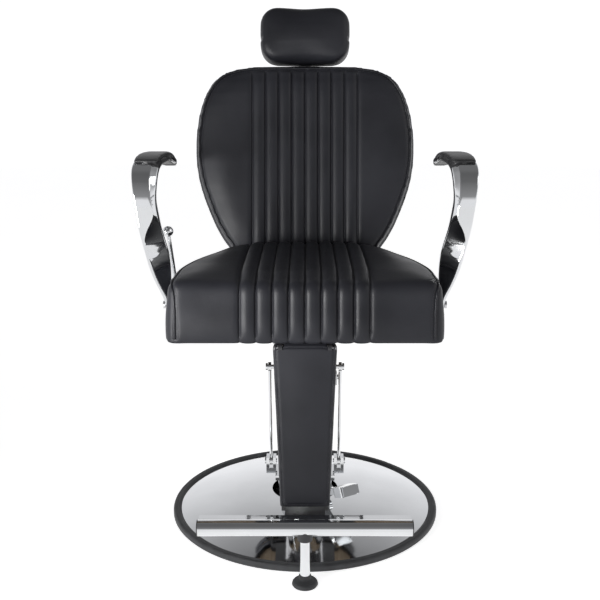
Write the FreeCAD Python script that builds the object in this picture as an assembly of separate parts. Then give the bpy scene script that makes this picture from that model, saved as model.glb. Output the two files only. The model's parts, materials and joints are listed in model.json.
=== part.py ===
"""Hydraulic barber chair: reclining, with a linked leg rest and a lift pump.

Millimetres, +Z up. The origin is on the floor on the pump's axis. The chair faces -Y,
and +X is the sitter's left.
"""
import FreeCAD
import Part
import math
import os

V = FreeCAD.Vector

# ---------------------------------------------------------------- driving dimensions
# base and pump
RING_R = 305.0            # outer radius of the rubber ring
RING_LIP_R = 287.0        # inner radius of the ring's lip
RING_H = 16.0
PLATE_R = 291.0
PLATE_T = 8.0
COVER_TOP_Z = 46.0        # where the dome meets the pump
COVER_TOP_R = 76.0
SHEET_T = 1.5             # pressed sheet thickness
FLANGE_R = 80.0
FLANGE_T = 12.0
HOUSING_R = 62.0
HOUSING_TOP = 106.0
RESERVOIR_R = 50.0
RESERVOIR_TOP = 300.0
CYLINDER_R = 36.0
CYLINDER_BORE = 31.0
ROD_R = 27.0              # lift piston rod
ROD_BOTTOM = 60.0
ROD_TOP = 458.0
RUN = 0.05                # radial clearance of a running fit
GAP = 0.3                 # clearance between faces that slide past each other

# pedal
PEDAL_AZIMUTH = -58.0     # degrees from +X
PEDAL_RISE = 22.0         # degrees above level
PEDAL_PIVOT_R = 76.0      # from the pump's axis
PEDAL_PIVOT_Z = 66.0
PEDAL_LENGTH = 120.0
PEDAL_PIN_R = 5.0

# seat frame
HUB_BOTTOM = 345.0
HUB_R = 40.0
HUB_FLANGE_BOTTOM = 452.0
HUB_TOP = 464.0
SWIVEL_PLATE_T = 8.0
RAIL_IN = 88.0            # inner face of each rail
RAIL_W = 30.0
RAIL_FRONT = -240.0
RAIL_BACK = 130.0
BOARD_Z = 512.0           # underside of the plywood, inside the upholstered box
BOARD_T = 18.0
BOX_WALL = 11.0           # upholstered wall round the frame
SEAT_BOTTOM = 481.0
SEAT_TOP = 600.0
SEAT_HALF_W = 273.0
SEAT_FRONT = -290.0
SEAT_REAR = 178.0

# backrest: s runs up along the back from its pivot, n is behind its middle plane
BACK_PIVOT = V(0, 215, 452.5)
BACK_TILT = 12.0          # degrees from upright
BACK_FOOT_S = 100.0
BACK_TOP_S = 563.0
BACK_FRONT_N = -55.0
BACK_SHELL_N = 40.0
UPRIGHT_X = 148.0
BACK_BRACKET_X = 132.0    # inner face of each back bracket
BACK_PIN_R = 6.0
CRANK_R = 45.0            # back crank below the pivot
CRANK_BACK = 20.0         # degrees the crank leans rearward at rest
SLIDE_X = 60.0            # sideways place of the lock rod and the drive rod
SLOT_PLAY = 0.45          # play of a crank pin in a slotted eye, fore and aft

# headrest, in the back's frame
HEAD_S0 = 568.0
HEAD_S1 = 699.0
HEAD_HALF_W = 109.0
HEAD_FRONT_N = -46.0
HEAD_REAR_N = 40.0
BAR_W = 30.0
BAR_T = 8.0
BAR_N0 = 13.0

# leg rest: u runs down the panel from its hinge, n is behind the hinge
LEG_PIVOT = V(0, -279, 467)
LEG_TILT = 3.0
LEG_END_U = 325.0
LEG_FRONT_N = -10.0
LEG_BACK_N = 30.0
LEG_TOP_HALF_W = 62.5
LEG_END_HALF_W = 49.5
LEG_SHAFT_R = 6.0
LINK_CRANK_R = 30.8       # moves as far in 60 degrees as the back crank does in 40
LINK_CRANK_BACK = 30.0
LEG_PLATE_X = 44.0        # inner face of each leg rest bracket
LEG_PLATE_T = 8.0
LEG_PLATE_R = 8.6
FOOT_PIVOT_U = 213.0      # hinge of the footrest on the panel's back
FOOT_PIVOT_N = 46.0
LINK_OFFSET = V(0, 40, -50)   # from each panel hinge to the link rod's hinge
LINK_X = 70.0
LINK_PIN_R = 4.0

# footrest
TUBE_R = 16.0
TUBE_HALF = 209.0
TUBE_Y = -350.0
TUBE_Z = 123.0
BEAM_Z0 = 112.0
BEAM_Z1 = 132.0
LEG_BAR_X = 40.0
LEG_BAR_T = 8.0
PAD_R = 26.0
POST_R = 10.0
POST_TOP = 118.0          # inside the tube, clear of its wall when screwed up

# arms
ARM_FOOT_X = 276.0
ARM_EDGE = 3.0            # how far from a corner the arm's section is rounded off
PAD_GAP = 0.5
PAD_RIM = 4.0             # how much narrower the pad is than the arm
LEVER_Y = -66.0
LEVER_Z = 446.0
LEVER_X = 264.0           # where the rod leaves the shaft
LEVER_ROD_R = 4.3
LEVER_BALL_R = 11.5


# ---------------------------------------------------------------- helpers
def box(x0, x1, y0, y1, z0, z1):
    """Solid box between two corners."""
    return Part.makeBox(x1 - x0, y1 - y0, z1 - z0, V(x0, y0, z0))


def cyl(radius, start, end):
    """Solid cylinder from one point to another."""
    run = end - start
    return Part.makeCylinder(radius, run.Length, start, run)


def pipe(outer, inner, start, end):
    """Tube from one point to another."""
    return cyl(outer, start, end).cut(cyl(inner, start, end))


def spun(points):
    """Solid of revolution about Z from (radius, height) corners.

    A corner with four numbers ends an arc: the last two are the arc's middle.
    """
    edges = []
    here = V(points[0][0], 0, points[0][1])
    for point in points[1:] + points[:1]:
        there = V(point[0], 0, point[1])
        if len(point) == 4:
            middle = V(point[2], 0, point[3])
            edges.append(Part.Arc(here, middle, there).toShape())
        else:
            edges.append(Part.makeLine(here, there))
        here = there
    face = Part.Face(Part.Wire(edges))
    return face.revolve(V(0, 0, 0), V(0, 0, 1), 360)


def side_plate(x0, x1, outline):
    """Plate across X whose (y, z) outline is given."""
    corners = [V(x0, y, z) for y, z in outline]
    face = Part.Face(Part.makePolygon(corners + corners[:1]))
    return face.extrude(V(x1 - x0, 0, 0))


def rounded_rect(centre, across, along, width, depth, radius):
    """Closed wire of a rounded rectangle; across and along are unit vectors."""
    half_w = width / 2 - radius
    half_d = depth / 2 - radius
    diagonal = radius * math.sqrt(0.5)
    edges = []
    corners = [(1, 1), (-1, 1), (-1, -1), (1, -1)]
    rounds = []
    for sx, sy in corners:
        middle = centre + across * (sx * half_w) + along * (sy * half_d)
        on_side = middle + across * (sx * radius)
        on_end = middle + along * (sy * radius)
        bulge = middle + across * (sx * diagonal) + along * (sy * diagonal)
        if sx == sy:
            rounds.append((on_side, bulge, on_end))
        else:
            rounds.append((on_end, bulge, on_side))
    for index, (first, bulge, last) in enumerate(rounds):
        edges.append(Part.Arc(first, bulge, last).toShape())
        edges.append(Part.makeLine(last, rounds[(index + 1) % 4][0]))
    return Part.Wire(edges)


def mirrored(shape):
    """Copy on the other side of the chair."""
    return shape.mirror(V(0, 0, 0), V(1, 0, 0))


def both_sides(shape):
    """A shape and its mirror image, as one group."""
    return Part.makeCompound([shape, mirrored(shape)])


def smooth_outline(points, place):
    """Edge through half an outline's points and their mirror images, placed by a function."""
    whole = points + [(-a, b) for a, b in reversed(points) if a > 0]
    curve = Part.BSplineCurve()
    curve.interpolate([place(a, b) for a, b in whole])
    return curve.toShape()


def save(name, shape):
    """Write one node's STEP file."""
    shape.exportStep("parts/" + name + ".step")


# frames of the tilted pieces
BACK_UP = V(0, math.sin(math.radians(BACK_TILT)), math.cos(math.radians(BACK_TILT)))
BACK_REAR = V(0, math.cos(math.radians(BACK_TILT)), -math.sin(math.radians(BACK_TILT)))
LEG_DOWN = V(0, -math.sin(math.radians(LEG_TILT)), -math.cos(math.radians(LEG_TILT)))
LEG_REAR = V(0, math.cos(math.radians(LEG_TILT)), -math.sin(math.radians(LEG_TILT)))


def on_back(x, s, n):
    """Point in the backrest's frame."""
    return V(x, 0, 0) + BACK_PIVOT + BACK_UP * s + BACK_REAR * n


def on_leg(x, u, n):
    """Point in the leg rest's frame."""
    return V(x, 0, 0) + LEG_PIVOT + LEG_DOWN * u + LEG_REAR * n


def back_box(x0, x1, s0, s1, n0, n1):
    """Box in the backrest's frame."""
    corners = [on_back(x0, s0, n0), on_back(x0, s1, n0), on_back(x0, s1, n1), on_back(x0, s0, n1)]
    face = Part.Face(Part.makePolygon(corners + corners[:1]))
    return face.extrude(V(x1 - x0, 0, 0))


FOOT_PIVOT = on_leg(0, FOOT_PIVOT_U, FOOT_PIVOT_N)
LINK_TOP = LEG_PIVOT + LINK_OFFSET
LINK_LOW = FOOT_PIVOT + LINK_OFFSET


def crank_point(pivot, radius, lean):
    """Crank pin below a pivot, leaning rearward by lean degrees."""
    angle = math.radians(lean)
    return pivot + V(0, radius * math.sin(angle), -radius * math.cos(angle))


BACK_CRANK = crank_point(BACK_PIVOT, CRANK_R, CRANK_BACK)
LINK_CRANK = crank_point(LINK_TOP, LINK_CRANK_R, LINK_CRANK_BACK)
LOCK_Z = BACK_CRANK.z - 1.4     # middle of the crank pin's rise and fall
LOCK_R = 12.0


def shifted(point, x):
    """Same point at another sideways place."""
    return V(x, point.y, point.z)


def cross_pin(radius, point, x0, x1):
    """Pin across the chair through a point."""
    return cyl(radius, shifted(point, x0), shifted(point, x1))


# ---------------------------------------------------------------- base and pump
def make_base():
    ring = spun([
        (PLATE_R + 0.3, 0), (RING_R - 3, 0), (RING_R, 3), (RING_R, 9),
        (RING_R - 7, RING_H, RING_R - 1.5, RING_H - 2),
        (RING_LIP_R + 5, RING_H), (RING_LIP_R, RING_H - 4),
        (RING_LIP_R, PLATE_T + 0.3), (PLATE_R + 0.3, PLATE_T + 0.3)])
    save("base_ring", ring)

    bolts = []
    for index in range(6):
        angle = math.radians(60 * index + 30)
        foot = V(71 * math.cos(angle), 71 * math.sin(angle), PLATE_T)
        shank = cyl(4, foot, foot + V(0, 0, FLANGE_T))
        head = cyl(7, foot + V(0, 0, FLANGE_T), foot + V(0, 0, FLANGE_T + 6))
        bolts.append(shank.fuse(head))
    bolt_group = Part.makeCompound(bolts)
    save("pump_bolts", bolt_group)
    save("base_plate", cyl(PLATE_R, V(0, 0, 0), V(0, 0, PLATE_T)))
    flange_top = PLATE_T + FLANGE_T
    flange = cyl(FLANGE_R, V(0, 0, PLATE_T), V(0, 0, flange_top))

    rim = RING_LIP_R - 0.5
    cover = spun([
        (rim, PLATE_T + 0.3), (rim, 12),
        (COVER_TOP_R, COVER_TOP_Z, 178, 35),
        (COVER_TOP_R, COVER_TOP_Z - SHEET_T),
        (rim - SHEET_T, 12 - SHEET_T, 178, 35 - SHEET_T),
        (rim - SHEET_T, PLATE_T + 0.3)])
    save("base_cover", cover)

    bottom = V(0, 0, flange_top)
    wall = pipe(RESERVOIR_R, RESERVOIR_R - 3, bottom, V(0, 0, RESERVOIR_TOP))
    save("pump_reservoir", flange.fuse(wall).cut(bolt_group))
    save("pump_cylinder", pipe(CYLINDER_R, CYLINDER_BORE, bottom, V(0, 0, RESERVOIR_TOP)))
    cap = cyl(RESERVOIR_R, V(0, 0, RESERVOIR_TOP), V(0, 0, RESERVOIR_TOP + 18))
    cap = cap.cut(cyl(ROD_R + RUN, V(0, 0, RESERVOIR_TOP), V(0, 0, RESERVOIR_TOP + 18)))
    cap = cap.cut(cyl(33, V(0, 0, RESERVOIR_TOP + 10), V(0, 0, RESERVOIR_TOP + 18)))
    save("pump_cap", cap)
    save("wiper_seal", pipe(32.9, ROD_R + RUN, V(0, 0, RESERVOIR_TOP + 10), V(0, 0, RESERVOIR_TOP + 20)))
    skirt = spun([
        (HOUSING_R, HOUSING_TOP), (HOUSING_R, HOUSING_TOP + 14), (54, HOUSING_TOP + 46),
        (54, RESERVOIR_TOP + 18), (51, RESERVOIR_TOP + 18), (51, HOUSING_TOP + 44),
        (HOUSING_R - 3, HOUSING_TOP + 12), (HOUSING_R - 3, HOUSING_TOP)])
    save("pump_skirt", skirt)


def turned(shape):
    """Turn a shape drawn along +X to the pedal's direction."""
    return shape.rotate(V(0, 0, 0), V(0, 0, 1), PEDAL_AZIMUTH)


def make_pedal():
    pivot = V(PEDAL_PIVOT_R, 0, PEDAL_PIVOT_Z)
    pin = cyl(PEDAL_PIN_R, pivot + V(0, -22, 0), pivot + V(0, 22, 0))
    housing = pipe(HOUSING_R, RESERVOIR_R + 0.2, V(0, 0, 47), V(0, 0, HOUSING_TOP))
    for side in (-1, 1):
        y0 = side * 16.5 - 4.5
        block = box(HOUSING_R - 6, PEDAL_PIVOT_R, y0, y0 + 9, PEDAL_PIVOT_Z - 14, PEDAL_PIVOT_Z + 14)
        nose = cyl(14, V(PEDAL_PIVOT_R, y0, PEDAL_PIVOT_Z), V(PEDAL_PIVOT_R, y0 + 9, PEDAL_PIVOT_Z))
        housing = housing.fuse(block.fuse(nose).cut(cyl(HOUSING_R - 2, V(0, 0, 40), V(0, 0, 120))))
    save("pump_housing", turned(housing.cut(pin)))
    save("pedal_pin", turned(pin))

    rise = math.radians(PEDAL_RISE)
    out = V(math.cos(rise), 0, math.sin(rise))
    up = V(-math.sin(rise), 0, math.cos(rise))

    def bar(a0, a1, width, h0, h1):
        corners = [pivot + out * a + up * h for a, h in ((a0, h0), (a1, h0), (a1, h1), (a0, h1))]
        corners = [c + V(0, -width / 2, 0) for c in corners]
        return Part.Face(Part.makePolygon(corners + corners[:1])).extrude(V(0, width, 0))

    boss = cyl(11, pivot + V(0, -11, 0), pivot + V(0, 11, 0))
    arm = boss.fuse(bar(0, 78, 20, -6, 6))
    arm = arm.cut(cyl(PEDAL_PIN_R + RUN, pivot + V(0, -22, 0), pivot + V(0, 22, 0)))
    save("pedal_arm", turned(arm))
    tread = bar(78, PEDAL_LENGTH - 4, 44, -10, 12)
    edges = [e for e in tread.Edges if e.Length < 23]
    tread = tread.makeFillet(8, edges)
    rib = bar(PEDAL_LENGTH - 4, PEDAL_LENGTH, 40, -8, 11)
    save("pedal_tread", turned(tread.fuse(rib)))


# ---------------------------------------------------------------- lift and seat frame
def make_lift():
    save("piston_rod", cyl(ROD_R, V(0, 0, ROD_BOTTOM), V(0, 0, ROD_TOP)))
    head = cyl(CYLINDER_BORE - 0.1, V(0, 0, ROD_BOTTOM - 22), V(0, 0, ROD_BOTTOM))
    groove = pipe(CYLINDER_BORE, 27.5, V(0, 0, ROD_BOTTOM - 15), V(0, 0, ROD_BOTTOM - 7))
    save("piston_head", head.cut(groove))
    save("piston_seal", pipe(CYLINDER_BORE - RUN, 27.5, V(0, 0, ROD_BOTTOM - 15), V(0, 0, ROD_BOTTOM - 7)))


def seat_outline(z, inset=0.0):
    """Wire of the seat's plan: straight front, sides that draw in to a rounded rear."""
    scale = (SEAT_HALF_W - inset) / SEAT_HALF_W
    points = [(SEAT_HALF_W, -200), (266, -113), (250, -47), (232, 5), (200, 80),
              (160, 140), (90, 170), (0, SEAT_REAR)]
    points = [(x * scale, y - inset * (y > -150)) for x, y in points]
    rear = smooth_outline(points, lambda x, y: V(x, y, z))
    front_y = SEAT_FRONT + inset
    side_x = SEAT_HALF_W * scale
    corner = 28.0
    diagonal = corner * (1 - math.sqrt(0.5))
    left = [V(-side_x, -200, z), V(-side_x, front_y + corner, z), V(-side_x + corner, front_y, z)]
    edges = [rear, Part.makeLine(left[0], left[1])]
    edges.append(Part.Arc(left[1], V(-side_x + diagonal, front_y + diagonal, z), left[2]).toShape())
    edges.append(Part.makeLine(left[2], V(side_x - corner, front_y, z)))
    edges.append(Part.Arc(V(side_x - corner, front_y, z),
                          V(side_x - diagonal, front_y + diagonal, z),
                          V(side_x, front_y + corner, z)).toShape())
    edges.append(Part.makeLine(V(side_x, front_y + corner, z), V(side_x, -200, z)))
    return Part.Wire(edges)


def make_seat():
    rod_top = V(0, 0, ROD_TOP + 0.3)
    hub = cyl(HUB_R, V(0, 0, HUB_BOTTOM), V(0, 0, HUB_FLANGE_BOTTOM))
    hub = hub.fuse(cyl(75, V(0, 0, HUB_FLANGE_BOTTOM), V(0, 0, HUB_TOP)))
    hub = hub.cut(cyl(ROD_R + RUN, V(0, 0, HUB_BOTTOM), rod_top))
    bolts = []
    plate_top = HUB_TOP + SWIVEL_PLATE_T
    for index in range(4):
        angle = math.radians(90 * index + 45)
        foot = V(58 * math.cos(angle), 58 * math.sin(angle), HUB_FLANGE_BOTTOM)
        shank = cyl(5, foot, V(foot.x, foot.y, plate_top))
        bolts.append(shank.fuse(cyl(9, foot - V(0, 0, 7), foot)))
    bolt_group = Part.makeCompound(bolts)
    save("hub_bolts", bolt_group)
    save("swivel_hub", hub.cut(bolt_group))
    rail_out = RAIL_IN + RAIL_W
    plate = box(-rail_out, rail_out, -110, 110, HUB_TOP, plate_top)
    save("swivel_plate", plate.cut(bolt_group))

    rail = box(RAIL_IN, rail_out, RAIL_FRONT, RAIL_BACK, plate_top, BOARD_Z)
    rail = rail.cut(box(RAIL_IN + 3, rail_out - 3, RAIL_FRONT, RAIL_BACK, plate_top + 3, BOARD_Z - 3))
    save("seat_rails", both_sides(rail))
    front_bar = box(-RAIL_IN, RAIL_IN, -235, -205, plate_top, BOARD_Z - 10)
    end = BACK_BRACKET_X
    bar = box(-end, -rail_out, 100, 130, plate_top, BOARD_Z)
    middle = box(-RAIL_IN, RAIL_IN, 100, 130, plate_top, BOARD_Z)
    save("seat_crossbars", Part.makeCompound([front_bar, bar, middle, mirrored(bar)]))

    bolts = []
    for side in (-1, 1):
        for y in (-145.0, -115.0):
            start = V(side * (ARM_FOOT_X + 12), y, BOARD_Z + BOARD_T / 2)
            shank = cyl(4, V(side * 235, y, start.z), start)
            head = cyl(8, start, start + V(side * 4, 0, 0))
            bolts.append(shank.fuse(head))
    arm_bolts = Part.makeCompound(bolts)
    save("arm_bolts", arm_bolts)

    board = Part.Face(seat_outline(BOARD_Z, BOX_WALL + 1)).extrude(V(0, 0, BOARD_T))
    save("seat_board", board.cut(arm_bolts))
    cushion = Part.Face(seat_outline(SEAT_BOTTOM)).extrude(V(0, 0, SEAT_TOP - SEAT_BOTTOM))
    top_edges = [e for e in cushion.Edges if e.BoundBox.ZMin > SEAT_TOP - 1]
    cushion = cushion.makeFillet(20, top_edges)
    pocket_top = BOARD_Z + BOARD_T + 0.2
    pocket = Part.Face(seat_outline(SEAT_BOTTOM - 1, BOX_WALL)).extrude(V(0, 0, pocket_top - SEAT_BOTTOM + 1))
    save("seat_cushion", cushion.cut(pocket).cut(arm_bolts))
    return arm_bolts


def make_back_mounts():
    low = BACK_BRACKET_X
    pins = cross_pin(BACK_PIN_R, BACK_PIVOT, low - 3, low + 23)
    save("back_pivot_pins", both_sides(pins))
    y, z = BACK_PIVOT.y, BACK_PIVOT.z
    bracket = side_plate(low, low + 8, [
        (100, 474), (100, 508), (130, 508), (130, 478), (y - 8, 478), (y + 12, z + 13),
        (y + 18, z), (y + 12, z - 13), (y, z - 18), (y - 20, z - 14)])
    save("back_brackets", both_sides(bracket.cut(pins)))
    # recline lock, to the right of the hub
    tube = pipe(LOCK_R, 6.3, V(-SLIDE_X, -20, LOCK_Z), V(-SLIDE_X, 120, LOCK_Z))
    save("lock_tube", tube.fuse(cyl(LOCK_R, V(-SLIDE_X, -30, LOCK_Z), V(-SLIDE_X, -20, LOCK_Z))))


# ---------------------------------------------------------------- arms
def arm_stations():
    """Places along an arm from its foot to its rear end.

    Point, width across, depth, then how wide and how deep its inner front edge is cut off.
    """
    return [
        (V(282, -130, 502), 12, 52, 4, 4), (V(282, -130, 530), 12, 52, 5, 8),
        (V(287.5, -131, 556), 22, 50, 14, 22), (V(293.5, -134, 584), 33, 46, 26, 30),
        (V(300, -141, 622), 41, 40, 35, 30), (V(308, -147, 660), 41, 36, 35, 26),
        (V(313, -151, 684), 41, 34, 22, 20), (V(316, -153, 706), 41, 32, 9, 13),
        (V(320, -154, 738), 42, 29, 9, 12), (V(321, -151, 762), 46, 26, 12, 12),
        (V(321.5, -141, 786), 51, 22, 15, 11), (V(321, -120, 801), 53, 17, 15, 8),
        (V(320.5, -92, 807), 53, 14, 15, 6), (V(320, -30, 809), 52, 13, 15, 5),
        (V(319, 50, 804), 50, 12, 14, 5), (V(316, 118, 792), 44, 9, 12, 4),
        (V(314, 152, 783), 34, 7, 9, 3)]


def rounded_polygon(corners, trim):
    """Closed wire through some corners, each rounded off a given distance from it."""
    rounds = []
    for index, corner in enumerate(corners):
        to_last = corners[index - 1] - corner
        to_next = corners[(index + 1) % len(corners)] - corner
        reach = min(trim, 0.4 * to_last.Length, 0.4 * to_next.Length)
        to_last.normalize()
        to_next.normalize()
        half_angle = to_last.getAngle(to_next) / 2
        radius = reach * math.tan(half_angle)
        inward = to_last + to_next
        inward.normalize()
        bulge = corner + inward * (radius / math.sin(half_angle) - radius)
        rounds.append((corner + to_last * reach, bulge, corner + to_next * reach))
    edges = []
    for index, (first, bulge, last) in enumerate(rounds):
        edges.append(Part.Arc(first, bulge, last).toShape())
        edges.append(Part.makeLine(last, rounds[(index + 1) % len(rounds)][0]))
    return Part.Wire(edges)


def arm_run(index, stations):
    """Unit vectors across an arm and out of its front face at a station."""
    before = stations[max(index - 1, 0)][0]
    after = stations[min(index + 1, len(stations) - 1)][0]
    run = after - before
    run = V(0, run.y, run.z)
    run.normalize()
    across = V(1, 0, 0)
    return across, across.cross(run)


def arm_section(index, stations):
    """Five sided section of the arm, its inner front edge cut off."""
    point, width, depth, cut_w, cut_d = stations[index]
    across, front = arm_run(index, stations)
    outline = [(width / 2, -depth / 2), (width / 2, depth / 2), (cut_w - width / 2, depth / 2),
               (-width / 2, depth / 2 - cut_d), (-width / 2, -depth / 2)]
    corners = [point + across * a + front * b for a, b in outline]
    return rounded_polygon(corners, ARM_EDGE)


def pad_section(index, stations, thick):
    """Rounded section of the arm pad, on top of the arm."""
    point, width, depth = stations[index][:3]
    across, front = arm_run(index, stations)
    middle = point + front * (depth / 2 + thick / 2 + PAD_GAP)
    return rounded_rect(middle, across, front, width - PAD_RIM, thick, thick * 0.42)


def make_arms(arm_bolts):
    stations = arm_stations()
    wires = [arm_section(i, stations) for i in range(len(stations))]
    arm = Part.makeLoft(wires, True, False)
    save("arm_left", arm.cut(arm_bolts))
    save("arm_right", mirrored(arm).cut(arm_bolts))
    pad_thick = {11: 5, 12: 6, 13: 6, 14: 7, 15: 6, 16: 4}
    pad_wires = [pad_section(index, stations, thick) for index, thick in pad_thick.items()]
    pad = Part.makeLoft(pad_wires, True, False).cut(arm)
    save("arm_pads", both_sides(max(pad.Solids, key=lambda solid: solid.Volume)))


# ---------------------------------------------------------------- recline lever
def make_lever():
    inner = V(-SLIDE_X - 14, LEVER_Y, LEVER_Z)
    outer = V(-LEVER_X - 8, LEVER_Y, LEVER_Z)
    shaft = cyl(6, inner, outer)
    support = box(-RAIL_IN - 22, -RAIL_IN - 10, LEVER_Y - 14, LEVER_Y + 14, LEVER_Z - 14, HUB_TOP)
    support = support.fuse(box(-RAIL_IN - 30, -RAIL_IN, LEVER_Y - 14, LEVER_Y + 14, HUB_TOP - 6, HUB_TOP))
    strap = box(-SLIDE_X - 10, -SLIDE_X + 10, 65, 95, LOCK_Z, HUB_TOP)
    strap = strap.cut(cyl(LOCK_R, V(-SLIDE_X, -20, LOCK_Z), V(-SLIDE_X, 120, LOCK_Z)))
    save("lock_hangers", Part.makeCompound([strap, support.cut(cyl(6 + RUN, inner, outer))]))
    boss = cyl(10, V(-LEVER_X - 8, LEVER_Y, LEVER_Z), V(-LEVER_X + 6, LEVER_Y, LEVER_Z))
    cam = cyl(14, inner, inner + V(-8, 0, 0))
    top = V(-287.5, LEVER_Y - 8, LEVER_Z + 206)
    rod = cyl(LEVER_ROD_R, V(-LEVER_X, LEVER_Y, LEVER_Z), top)
    ball = Part.makeSphere(LEVER_BALL_R, top + V(-0.9, -0.3, 10))
    save("lever_rod", shaft.fuse(cam).fuse(boss).fuse(rod).cut(ball))
    save("lever_ball", ball)


# ---------------------------------------------------------------- backrest and headrest
def back_outline(inset, n):
    """Wire of the back: wide at two thirds of its height, drawn in to the foot."""
    points = [(168, BACK_FOOT_S), (201, 142), (238, 219), (261, 295), (266.5, 360), (261, 430),
              (246, 485), (222, 525), (180, 551), (110, 561), (0, BACK_TOP_S)]
    placed = []
    for x, s in points:
        share = x / 266.5
        rise = (s - 330) / 233
        placed.append((x - inset * share, s - inset * rise))
    curve = smooth_outline(placed, lambda x, s: on_back(x, s, n))
    foot_x, foot_s = placed[0]
    base = Part.makeLine(on_back(-foot_x, foot_s, n), on_back(foot_x, foot_s, n))
    return Part.Wire([curve, base])


def back_slab(inset, n0, n1):
    """Plate with the back's outline between two depths."""
    return Part.Face(back_outline(inset, n0)).extrude(BACK_REAR * (n1 - n0))


def make_back():
    save("back_cushion", back_slab(0, BACK_FRONT_N, -8.5))
    save("back_board", back_slab(9, -8, 8))
    shell = back_slab(0, -8, BACK_SHELL_N)
    shell = shell.cut(back_slab(8, -9, 30))
    for side in (-1, 1):
        x = side * UPRIGHT_X
        shell = shell.cut(back_box(x - 23, x + 23, BACK_FOOT_S - 20, 150, 6, 26))
    shell = shell.cut(back_box(-24, 24, 500, BACK_TOP_S + 20, 6, 28))
    save("back_shell", shell)

    hole = cross_pin(BACK_PIN_R + RUN, BACK_PIVOT, -200, 200)
    shaft = cross_pin(6, BACK_CRANK, -144, 144)
    tail_end = BACK_CRANK - BACK_PIVOT
    tail_side = V(0, -tail_end.z, tail_end.y)
    tail_side.normalize()
    ear_x = UPRIGHT_X - 4
    ear = back_box(ear_x, ear_x + 8, 0, 92, -15, 16)
    ear = ear.fuse(cross_pin(16, BACK_PIVOT, ear_x, ear_x + 8))
    corners = [BACK_PIVOT + tail_side * 14, BACK_PIVOT - tail_side * 14,
               BACK_CRANK - tail_side * 10, BACK_CRANK + tail_side * 10]
    corners = [shifted(c, ear_x) for c in corners]
    tail = Part.Face(Part.makePolygon(corners + corners[:1])).extrude(V(8, 0, 0))
    tail = tail.fuse(cross_pin(10, BACK_CRANK, ear_x, ear_x + 8))
    bar = back_box(UPRIGHT_X - 20, UPRIGHT_X + 20, 70, 440, 8, 16)
    upright = ear.fuse(tail).fuse(bar).cut(hole).cut(shaft)
    save("back_uprights", both_sides(upright))
    save("back_crank_shaft", shaft)
    guide = back_box(-22, 22, 300, 520, 8, 26)
    half = BAR_W / 2 + GAP
    guide = guide.cut(back_box(-half, half, 299, 521, BAR_N0 - GAP, BAR_N0 + BAR_T + GAP))
    save("headrest_guide", guide)


def make_headrest():
    bar = back_box(-BAR_W / 2, BAR_W / 2, 330, 655, BAR_N0, BAR_N0 + BAR_T)
    save("headrest_bar", bar)
    middle_s = (HEAD_S0 + HEAD_S1) / 2
    centre = on_back(0, middle_s, HEAD_FRONT_N)
    outline = rounded_rect(centre, V(1, 0, 0), BACK_UP, 2 * HEAD_HALF_W, HEAD_S1 - HEAD_S0, 42)
    block = Part.Face(outline).extrude(BACK_REAR * (HEAD_REAR_N - HEAD_FRONT_N))
    rims = []
    for edge in block.Edges:
        middle = edge.valueAt((edge.FirstParameter + edge.LastParameter) / 2) - BACK_PIVOT
        depth = middle.dot(BACK_REAR)
        if abs(depth - HEAD_FRONT_N) < 0.5 or abs(depth - HEAD_REAR_N) < 0.5:
            rims.append(edge)
    block = block.makeFillet(18, rims)
    slot = back_box(-BAR_W / 2 - 0.2, BAR_W / 2 + 0.2, HEAD_S0 - 5, 655.2, BAR_N0 - 0.2, BAR_N0 + BAR_T + 0.2)
    save("headrest_cushion", block.cut(slot))


# ---------------------------------------------------------------- lock rod and drive rod
def slotted_eye(point, x0, x1, pin_r, tall):
    """Eye with an upright slot that a crank pin rides in."""
    y, z = point.y, point.z
    body = cross_pin(pin_r + 6, point, x0, x1)
    body = body.fuse(box(x0, x1, y - pin_r - 6, y + pin_r + 6, z - tall, z + tall))
    slot = box(x0 - 1, x1 + 1, y - pin_r - SLOT_PLAY, y + pin_r + SLOT_PLAY, z - tall + 4, z + tall - 4)
    return body.cut(slot)


def make_slides():
    x = -SLIDE_X
    eye_at = V(0, BACK_CRANK.y, LOCK_Z)
    rod = slotted_eye(eye_at, x - 5, x + 5, 6, 13)
    save("lock_rod", rod.fuse(cyl(6, V(x, 30, LOCK_Z), V(x, BACK_CRANK.y - 9, LOCK_Z))))
    x = SLIDE_X
    front_at = V(0, LINK_CRANK.y, LINK_CRANK.z - 2.0)
    front = slotted_eye(front_at, x - 4, x + 4, 5, 12)
    rear = slotted_eye(eye_at, x - 4, x + 4, 6, 13)
    start = V(x, front_at.y + 9, front_at.z)
    end = V(x, eye_at.y - 9, eye_at.z)
    save("drive_rod", cyl(4, start, end).fuse(front).fuse(rear))


# ---------------------------------------------------------------- leg rest
def leg_prism(n0, n1, u0, u1, half0, half1):
    """Tapered slab in the leg rest's frame."""
    corners = [on_leg(-half0, u0, n0), on_leg(half0, u0, n0), on_leg(half1, u1, n0), on_leg(-half1, u1, n0)]
    face = Part.Face(Part.makePolygon(corners + corners[:1]))
    return face.extrude(LEG_REAR * (n1 - n0))


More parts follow.
